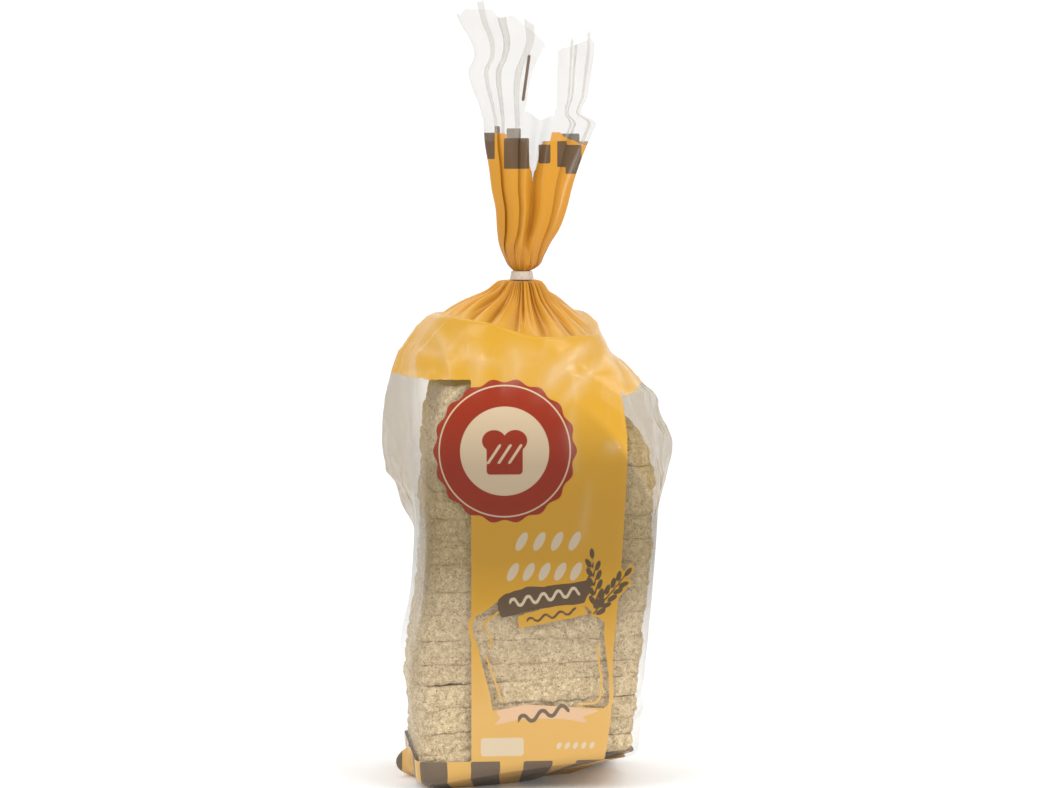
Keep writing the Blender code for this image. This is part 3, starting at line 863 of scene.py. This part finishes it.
def film_values(grid, crease_white_and_highlight, starts):
    """How the clear film covers at every point, with the painted shade and light on it."""
    body = (np.arange(len(grid)) < starts["neck"])[:, None]
    loose = np.where(np.arange(len(grid))[:, None] < starts["cone"], slack(grid), 1.0)
    # Painted shade by height, where the film lies on the loaf.
    painted_shade = straight(PAINTED_SHADE_BY_HEIGHT, grid[:, :, 2]) * (1 - loose) * body
    # The clear film's cover, raised by a dark veil of painted shade by height.
    veil = np.where(body, CLEAR_VEIL + PAINTED_SHADE_VEIL * painted_shade + SLACK_VEIL * loose, TAIL_VEIL)
    rows = np.arange(len(grid))[:, None] + np.zeros(COLUMNS)
    gathered = np.clip((rows - starts["cone"]) / GATHER_ROWS, 0, 1)
    low_tail = np.clip((starts["tail"] + LOW_TAIL_ROWS - rows) / LOW_TAIL_ROWS, 0, 1)
    # Painted shade in the pleats' valleys, and a floor of it over the low tail.
    main = (1 - pleat_wave(MAIN_PHASE)) ** VALLEY_SHARPNESS
    mid = MID_SHADE * MID_STRENGTH * (1 - pleat_wave(MID_PHASE)) ** VALLEY_SHARPNESS
    valley = np.maximum(main, mid) * gathered * low_tail
    tail_valley_shade = np.maximum(valley, TAIL_SHADE[0] + TAIL_SHADE[1] * low_tail)
    valley = np.where(rows > starts["neck"], tail_valley_shade, valley)
    return {"painted_shade": painted_shade, "veil": veil + CREASE_VEIL * crease_white_and_highlight, "wing": loose * body, "crease_white_and_highlight": crease_white_and_highlight,
            "gathered": gathered, "valley": valley, "painted_light_low": straight(PAINTED_LIGHT_BY_HEIGHT, grid[:, :, 2])}


# Meshes and materials

def used_only(points, faces, attributes):
    """Leaves out the points that no face uses."""
    used = np.zeros(len(points), bool)
    for face in faces:
        used[face] = True
    number = np.cumsum(used) - 1
    faces = [number[face].tolist() for face in faces]
    return points[used], faces, {key: np.ravel(values)[used] for key, values in attributes.items()}


def make_mesh(name, points, faces, material, attributes=None):
    """A smooth-shaded piece from points in millimetres, with named values on its points."""
    points, faces, attributes = used_only(np.asarray(points, float), faces, attributes or {})
    mesh = bpy.data.meshes.new(name)
    mesh.from_pydata((points * MM).tolist(), [], faces)
    mesh.update()
    mesh.shade_smooth()
    mesh.materials.append(material)
    for key, values in attributes.items():
        layer = mesh.attributes.new(key, "FLOAT", "POINT")
        layer.data.foreach_set("value", values.astype(np.float32))
    thing = bpy.data.objects.new(name, mesh)
    bpy.context.scene.collection.objects.link(thing)
    return thing


def grid_faces(rows, columns, kept=None):
    """Quads between neighbouring rows and columns all the way round, but for those not kept."""
    here = np.arange(columns)
    after = (here + 1) % columns
    faces = []
    for row in range(rows - 1):
        low, high = row * columns, (row + 1) * columns
        quads = np.stack([low + here, low + after, high + after, high + here], axis=1)
        faces.extend((quads if kept is None else quads[kept[row]]).tolist())
    return faces


class Nodes:
    """A short way to build a material's nodes."""

    def __init__(self, name):
        self.material = bpy.data.materials.new(name)
        self.material.use_nodes = True
        self.tree = self.material.node_tree
        self.shader = self.tree.nodes["Principled BSDF"]

    def put(self, socket, value):
        if isinstance(value, bpy.types.NodeSocket):
            self.tree.links.new(value, socket)
        else:
            socket.default_value = value

    def add(self, kind, **inputs):
        node = self.tree.nodes.new(kind)
        for key, value in inputs.items():
            self.put(node.inputs[key], value)
        return node

    def math(self, operation, first, second=0.0, clamp=False):
        node = self.tree.nodes.new("ShaderNodeMath")
        node.operation = operation
        node.use_clamp = clamp
        self.put(node.inputs[0], first)
        self.put(node.inputs[1], second)
        return node.outputs[0]

    def scaled(self, value, factor, offset=0.0, clamp=False):
        return self.math("ADD", self.math("MULTIPLY", value, factor), offset, clamp)

    def attribute(self, name):
        node = self.tree.nodes.new("ShaderNodeAttribute")
        node.attribute_name = name
        return node.outputs["Fac"]

    def inside(self, shape, softness=0.22):
        """0 outside a printed shape and 1 inside it."""
        return self.scaled(shape, 1 / softness, 0.5, clamp=True)

    def mix(self, factor, first, second, blend_type="MIX"):
        node = self.tree.nodes.new("ShaderNodeMix")
        node.data_type = "RGBA"
        node.blend_type = blend_type
        self.put(node.inputs["Factor"], factor)
        self.put(node.inputs["A"], first)
        self.put(node.inputs["B"], second)
        return node.outputs["Result"]

    def noise(self, scale, detail=2.0, roughness=0.5):
        place = self.tree.nodes.new("ShaderNodeTexCoord").outputs["Object"]
        node = self.add("ShaderNodeTexNoise", Vector=place, Scale=scale, Detail=detail, Roughness=roughness)
        return node.outputs["Fac"]

    def spots(self, scale, radius, rarity):
        """1 in small round spots, in the share of the cells above a rarity."""
        place = self.tree.nodes.new("ShaderNodeTexCoord").outputs["Object"]
        cells = self.add("ShaderNodeTexVoronoi", Vector=place, Scale=scale)
        red = self.add("ShaderNodeSeparateColor", Color=cells.outputs["Color"]).outputs["Red"]
        spot = self.range(cells.outputs["Distance"], radius, radius * 0.6)
        return self.math("MULTIPLY", spot, self.range(red, rarity, rarity + 0.04))

    def range(self, value, low, high):
        """0 at the low value and 1 at the high one."""
        node = self.add("ShaderNodeMapRange", Value=value)
        node.inputs["From Min"].default_value = low
        node.inputs["From Max"].default_value = high
        return node.outputs["Result"]

    def bump(self, height, distance, strength=1.0):
        node = self.add("ShaderNodeBump", Height=height, Distance=distance, Strength=strength)
        self.tree.links.new(node.outputs["Normal"], self.shader.inputs["Normal"])


CLEAR = (0.45, 0.41, 0.35, 1)
# A dark tint of the clear film: painted shade over what it lies on.
PAINTED_SHADE_TINT = (0.14, 0.10, 0.035, 1)
# The wings' tint: painted shade on the slack film beside the loaf.
WING_SHADE_TINT = (0.26, 0.16, 0.02, 1)
# A pale colour for the painted pale light at the bottom, and for the whitening and painted highlights along
# creases.
PAINTED_LIGHT_AND_WHITENING = (0.85, 0.81, 0.72, 1)
YELLOW = (0.60, 0.315, 0.024, 1)
GATHERED = (0.61, 0.285, 0.024, 1)
# Painted shade in the pleats' valleys.
VALLEY_SHADE_TINT = (0.36, 0.115, 0.008, 1)
BRICK = (0.285, 0.022, 0.003, 1)
CREAM = (0.60, 0.46, 0.30, 1)
BROWN = (0.108, 0.065, 0.032, 1)
PALE = (0.62, 0.50, 0.34, 1)
BLUSH = (0.66, 0.43, 0.26, 1)
BLACK = (0.0, 0.0, 0.0, 1)
# How far the painted shade darkens the ink.
PAINTED_SHADE_ON_INK = 0.46
INK_ALPHA = 0.94
EDGE_ALPHA = 0.15
VALLEY_SHADE = 0.75
# How much of the painted pale light covers the brown at the bottom.
BROWN_PAINTED_LIGHT = 0.5
# How much whitening and painted highlight the creases get.
CREASE_WHITENING_AND_HIGHLIGHT = 0.2


# The printed shapes, from the lowest layer of ink to the highest.
INKS = ("ink", "blush", "brown", "pale", "badge")


def badge_cream(nodes, badge):
    """The badge's pale rim and its pale disc with the icon left out."""
    depth = nodes.attribute("badge_depth")
    off_rim = nodes.math("ABSOLUTE", nodes.scaled(depth, 1, -BADGE_RIM))
    rim = nodes.inside(nodes.scaled(off_rim, -1, BADGE_RIM_RADIUS))
    disc = nodes.inside(nodes.scaled(depth, 1, -BADGE_DISC))
    icon = nodes.math("SUBTRACT", 1, nodes.inside(nodes.attribute("icon")))
    pale = nodes.math("MULTIPLY", nodes.math("MAXIMUM", rim, disc), icon)
    return nodes.math("MULTIPLY", pale, badge)


def film_colour(nodes, shapes, covered):
    """Clear film under layers of ink, whitened along creases with painted highlights, with painted shade in
    the middle of the body, the wings and the pleats' valleys, and painted pale light at the bottom.
    """
    # Painted shade: the clear film is tinted dark over the middle of the body.
    colour = nodes.mix(nodes.attribute("painted_shade"), CLEAR, PAINTED_SHADE_TINT)
    # Painted shade: the slack film of the wings is tinted dark.
    colour = nodes.mix(nodes.attribute("wing"), colour, WING_SHADE_TINT)
    yellow = nodes.mix(nodes.attribute("gathered"), YELLOW, GATHERED)
    # Painted shade in the pleats' valleys.
    yellow = nodes.mix(nodes.scaled(nodes.attribute("valley"), VALLEY_SHADE), yellow, VALLEY_SHADE_TINT)
    # Painted pale light over the print at the bottom.
    yellow = nodes.mix(nodes.attribute("painted_light_low"), yellow, PAINTED_LIGHT_AND_WHITENING)
    brown = nodes.mix(nodes.scaled(nodes.attribute("painted_light_low"), BROWN_PAINTED_LIGHT), BROWN, PAINTED_LIGHT_AND_WHITENING)
    for name, tint in zip(INKS, (yellow, BLUSH, brown, PALE, BRICK)):
        colour = nodes.mix(shapes[name], colour, tint)
    colour = nodes.mix(badge_cream(nodes, shapes["badge"]), colour, CREAM)
    # Whitening with painted highlights along creases.
    colour = nodes.mix(nodes.scaled(nodes.attribute("crease_white_and_highlight"), CREASE_WHITENING_AND_HIGHLIGHT), colour, PAINTED_LIGHT_AND_WHITENING)
    # Painted shade darkens the ink in the middle of the body.
    shaded_ink = nodes.math("MULTIPLY", nodes.attribute("painted_shade"), covered)
    return nodes.mix(nodes.scaled(shaded_ink, PAINTED_SHADE_ON_INK), colour, BLACK)


def film_material():
    """Clear film with ink on it: the ink is nearly opaque, and the film shows more where it turns away."""
    nodes = Nodes("printed film")
    shapes = {name: nodes.inside(nodes.attribute(name)) for name in INKS}
    covered = shapes["ink"]
    for name in INKS[1:]:
        covered = nodes.math("MAXIMUM", covered, shapes[name])
    facing = nodes.add("ShaderNodeLayerWeight", Blend=0.35).outputs["Facing"]
    clear = nodes.math("ADD", nodes.attribute("veil"), nodes.scaled(facing, EDGE_ALPHA), clamp=True)
    room = nodes.math("MULTIPLY", nodes.math("SUBTRACT", INK_ALPHA, clear), covered)
    nodes.put(nodes.shader.inputs["Base Color"], film_colour(nodes, shapes, covered))
    nodes.put(nodes.shader.inputs["Alpha"], nodes.math("ADD", clear, room))
    nodes.shader.inputs["Roughness"].default_value = 0.25
    nodes.shader.inputs["Specular IOR Level"].default_value = 0.3
    nodes.shader.inputs["IOR"].default_value = 1.5
    nodes.bump(nodes.noise(140, 3), 0.0004, 0.25)
    return nodes.material


def bread_material():
    nodes = Nodes("wholemeal crumb")
    tone_and_seam_shade = nodes.attribute("tone_and_seam_shade")
    coarse = nodes.noise(330, 7, 0.7)
    grain = nodes.noise(1300, 4, 0.65)
    mottle = nodes.math("ADD", nodes.scaled(coarse, 0.5), nodes.scaled(grain, 0.5))
    colour = nodes.mix(nodes.range(mottle, 0.40, 0.60), (0.39, 0.28, 0.145, 1), (0.82, 0.655, 0.41, 1))
    # Pores: painted shade in the crumb's small holes, which the bump also sinks.
    pore_shade = nodes.spots(560, 0.34, 0.50)
    colour = nodes.mix(nodes.scaled(pore_shade, 0.55), colour, (0.24, 0.155, 0.075, 1))
    colour = nodes.mix(nodes.scaled(nodes.spots(450, 0.30, 0.82), 0.7), colour, (0.92, 0.79, 0.56, 1))
    colour = nodes.mix(nodes.spots(330, 0.16, 0.82), colour, (0.13, 0.075, 0.035, 1))
    # The slice's tone, with its painted shade where slices meet.
    grey = nodes.add("ShaderNodeCombineColor", Red=tone_and_seam_shade, Green=tone_and_seam_shade, Blue=tone_and_seam_shade).outputs[0]
    nodes.put(nodes.shader.inputs["Base Color"], nodes.mix(1.0, colour, grey, "MULTIPLY"))
    nodes.shader.inputs["Roughness"].default_value = 0.95
    nodes.bump(nodes.math("SUBTRACT", mottle, nodes.scaled(pore_shade, 0.3)), 0.0016, 0.8)
    return nodes.material


def band_material():
    nodes = Nodes("pale band")
    fibres = nodes.noise(700, 3)
    colour = nodes.mix(nodes.range(fibres, 0.3, 0.7), (0.44, 0.36, 0.28, 1), (0.57, 0.48, 0.39, 1))
    nodes.put(nodes.shader.inputs["Base Color"], colour)
    nodes.shader.inputs["Roughness"].default_value = 0.55
    nodes.bump(fibres, 0.0001, 0.4)
    return nodes.material


# Pieces

def make_film(material, shift):
    """The film as two pieces that meet behind the fold."""
    parts = {"base": base_rows(), "wall": wall_rows(), "shoulder": shoulder_rows()}
    parts["cone"] = cone_rows(parts["shoulder"][-1])
    parts["neck"] = neck_rows()
    parts["tail"] = tail_rows()
    parts["lobe"] = lobe_rows(parts["tail"][-1])
    starts = {}
    rows = []
    for name, part in parts.items():
        starts[name] = len(rows)
        rows.extend(part)
    plain = np.array(rows)
    grid, crease_white_and_highlight = creased(plain, starts["cone"] - LIP_ROWS)
    values = print_values(plain, starts)
    values.update(film_values(plain, crease_white_and_highlight, starts))
    after = np.roll(np.arange(COLUMNS), -1)
    kept = np.ones((len(plain), COLUMNS), bool)
    kept[starts["lobe"] - 1:] = (IN_LEFT & IN_LEFT[after]) | (IN_RIGHT & IN_RIGHT[after])
    pieces = []
    fold = starts["cone"]
    for name, first, last in (("film_body", 0, fold), ("film_top", fold - 1, len(plain))):
        faces = grid_faces(last - first, COLUMNS, kept[first:last])
        if first == 0:
            faces.append(list(range(COLUMNS))[::-1])
        used = {key: value[first:last] for key, value in values.items()}
        pieces.append(make_mesh(name, (grid[first:last] + shift).reshape(-1, 3), faces, material, used))
    return pieces


def stack_shape(points):
    """Leans, tilts and droops a straight stack into the loaf's form."""
    x, y, z = points[..., 0], points[..., 1], points[..., 2]
    middle, half = loaf_edges(z)
    rounded = 1 - 0.075 * np.maximum(1 - z / 7, 0) ** 2
    droop = np.clip((z - DROOP_START) / (STACK[1] - DROOP_START), 0, 1) ** 2
    left = ease(-x, 20, 57) ** 1.2 * droop
    right = ease(x, 18, 57) ** 1.2 * droop
    low = np.clip(1 - z / 70, 0, 1)
    lifted = low * straight(FRONT_LIFT, x) * (np.clip(57 - y, 0, 114) / 114) ** 0.7
    tilted = STACK_TILT * (x + 54) * np.clip(z / 60, 0, 1) * np.clip((STACK[1] - z) / 50, 0, 1)
    widened = x * rounded * half / (SLICE_SIZE[0] / 2) + middle
    moved_x = widened + LEFT_DROOP[0] * left + RIGHT_DROOP[0] * right
    moved_z = z + lifted + tilted + LEFT_DROOP[1] * left + RIGHT_DROOP[1] * right
    return np.stack([moved_x, y * rounded, moved_z], axis=-1)


def slice_outline(draw):
    """One slice's rounded rectangle, a little smaller and to one side by a draw."""
    width = SLICE_SIZE[0] / 2
    depth = SLICE_SIZE[1] / 2
    shares = np.linspace(0, 1, int(sum(SLICE_SIZE) / CRUMB_STEP), endpoint=False)
    front = half_loop(shares, width, width, depth, SLICE_CORNER)
    back = half_loop(1 - shares, width, width, depth, SLICE_CORNER)
    outline = np.concatenate([np.stack([front[0], -front[1]], 1), np.stack([back[0], back[1]], 1)])
    return outline * (1 - draw.uniform(0, SHRINK)) + draw.uniform(-STRAY, STRAY, 2)


def slice_grid(outline, bottom, thickness):
    """Rings over a slice's lower face, up its side and over its upper face."""
    parts = np.linspace(0, 1, int(round(thickness / CRUMB_STEP)) + 1)
    insets = EDGE_ROUND * np.abs(2 * parts - 1) ** 6
    rings = [(ring, bottom) for ring in FACE_RINGS]
    for inset, part in zip(insets, parts):
        rings.append((1 - inset / (SLICE_SIZE[1] / 2), bottom + thickness * part))
    rings += [(ring, bottom + thickness) for ring in reversed(FACE_RINGS)]
    return np.array([np.column_stack([outline * ring, np.full(len(outline), z)]) for ring, z in rings])


def make_slice(number, bottom, top, material, shift):
    """One slice of crumb, with two rough cut faces and rough sides."""
    draw = np.random.default_rng(100 + number)
    outline = slice_outline(draw)
    thickness = top - bottom
    grid = slice_grid(outline, bottom, thickness)
    rough = np.ones(len(grid))
    rough[:len(FACE_RINGS)] = FACE_ROUGH
    rough[-len(FACE_RINGS):] = FACE_ROUGH
    outward = grid[:, :, :2] / np.linalg.norm(grid[:, :, :2], axis=2)[:, :, None]
    relief = 0.8 * soft_noise(grid + 7 * number, 4.2, 31) + 0.75 * soft_noise(grid + 3 * number, 1.9, 32)
    bites = np.maximum(soft_noise(grid + 13 * number, 4.2, 35) - 0.35, 0) * 1.6
    grid[:, :, :2] += outward * ((relief - 0.5 - bites) * rough[:, None])[:, :, None]
    edges = np.abs(2 * (grid[:, :, 2] - bottom) / thickness - 1) ** 3
    uneven = 0.8 * soft_noise(grid + 11 * number, 8, 33) + 0.6 * soft_noise(grid + number, 2.4, 34)
    grid[:, :, 2] += edges * uneven
    grid[:, :, 2] += draw.uniform(-0.008, 0.008) * grid[:, :, 0]
    points = stack_shape(grid) + shift
    faces = grid_faces(len(grid), len(outline))
    last = (len(grid) - 1) * len(outline)
    faces.append(list(range(len(outline)))[::-1])
    faces.append([last + column for column in range(len(outline))])
    # Random tone by slice and across it, and painted shade: 10% darker at the cut faces and the sides next
    # to them, where slices meet.
    tone_and_seam_shade = draw.uniform(0.93, 1.05) * (1 + 0.07 * soft_noise(grid, 20, 36)) * (1 - 0.1 * (edges > 0.75))
    return make_mesh(f"slice_{number + 1:02d}", points.reshape(-1, 3), faces, material, {"tone_and_seam_shade": tone_and_seam_shade})


def make_slices(shift):
    material = bread_material()
    thick = np.random.default_rng(3).uniform(0.84, 1.16, SLICES)
    edges = STACK[0] + np.concatenate([[0], np.cumsum(thick)]) / thick.sum() * (STACK[1] - STACK[0])
    slices = []
    for number in range(SLICES):
        bottom = edges[number] + SLICE_GAP / 2
        top = edges[number + 1] - SLICE_GAP / 2
        slices.append(make_slice(number, bottom, top, material, shift))
    return slices


# View and studio

# The backdrop in metres: how far it reaches, and where and how widely it bends up.
BACKDROP_REACH = 4.0
BEND_AT = 1.6
BEND_RADIUS = 0.8


def look_at(thing, target):
    direction = Vector(target) - thing.location
    thing.rotation_euler = direction.to_track_quat("-Z", "Y").to_euler()


def make_camera():
    data = bpy.data.cameras.new("camera")
    camera = bpy.data.objects.new("camera", data)
    bpy.context.scene.collection.objects.link(camera)
    azimuth = math.radians(VIEW_AZIMUTH)
    elevation = math.radians(VIEW_ELEVATION)
    level = math.cos(elevation)
    back = Vector((math.sin(azimuth) * level, -math.cos(azimuth) * level, math.sin(elevation)))
    target = Vector((0, 0, VIEW_HEIGHT * MM))
    camera.location = target + back * VIEW_DISTANCE * MM
    look_at(camera, target)
    data.sensor_width = SENSOR
    data.lens = SENSOR * PIXELS_PER_MM * VIEW_DISTANCE / FRAME_PIXELS[0]
    bpy.context.scene.camera = camera


def area_light(name, location, target, size, power):
    data = bpy.data.lights.new(name, "AREA")
    data.shape = "RECTANGLE"
    data.size, data.size_y = size
    data.energy = power
    light = bpy.data.objects.new(name, data)
    bpy.context.scene.collection.objects.link(light)
    light.location = location
    look_at(light, target)


def make_backdrop():
    """A pale floor that curves up into a wall behind the bag."""
    profile = [(-BACKDROP_REACH, 0.0)]
    for turn in np.linspace(0, math.pi / 2, 16):
        profile.append((BEND_AT + BEND_RADIUS * math.sin(turn), BEND_RADIUS * (1 - math.cos(turn))))
    profile.append((BEND_AT + BEND_RADIUS, BACKDROP_REACH))
    points = [(side * BACKDROP_REACH / MM, y / MM, z / MM) for y, z in profile for side in (-1, 1)]
    faces = [[2 * row, 2 * row + 1, 2 * row + 3, 2 * row + 2] for row in range(len(profile) - 1)]
    nodes = Nodes("backdrop")
    nodes.shader.inputs["Base Color"].default_value = (0.88, 0.88, 0.88, 1)
    nodes.shader.inputs["Roughness"].default_value = 0.9
    nodes.shader.inputs["Emission Color"].default_value = (1, 1, 1, 1)
    nodes.shader.inputs["Emission Strength"].default_value = 0.03
    make_mesh("backdrop", points, faces, nodes.material)


def make_studio():
    make_backdrop()
    world = bpy.data.worlds.new("studio")
    world.use_nodes = True
    world.node_tree.nodes["Background"].inputs["Color"].default_value = (1, 1, 1, 1)
    world.node_tree.nodes["Background"].inputs["Strength"].default_value = 0.69
    bpy.context.scene.world = world
    area_light("upper right", (1.1, -1.2, 1.5), (0, 0, 0.2), (1.2, 1.2), 18)
    area_light("upper left", (-1.4, -1.0, 1.2), (0, 0, 0.25), (1.0, 1.2), 15)
    area_light("overhead", (0, 0.9, 2.3), (0, 0.9, 0), (2.2, 1.6), 22)
    area_light("low right", (0.9, -0.9, 0.15), (0, 0, 0.02), (0.3, 0.2), 2.5)
    bpy.context.scene.view_settings.view_transform = "Standard"


def main():
    make_camera()
    left, right, wing_left, wing_right = BODY[WIDEST_ROW][1:5]
    shift = np.array([(left + wing_left - right - wing_right) / 2, 0, 0])
    for piece in make_film(film_material(), shift):
        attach(piece, "root")
        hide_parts("bag")
    for piece in make_slices(shift):
        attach(piece, "root")
        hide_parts("bag")
    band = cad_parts["tie"]
    band.data.materials.clear()
    band.data.materials.append(band_material())
    make_studio()


main()
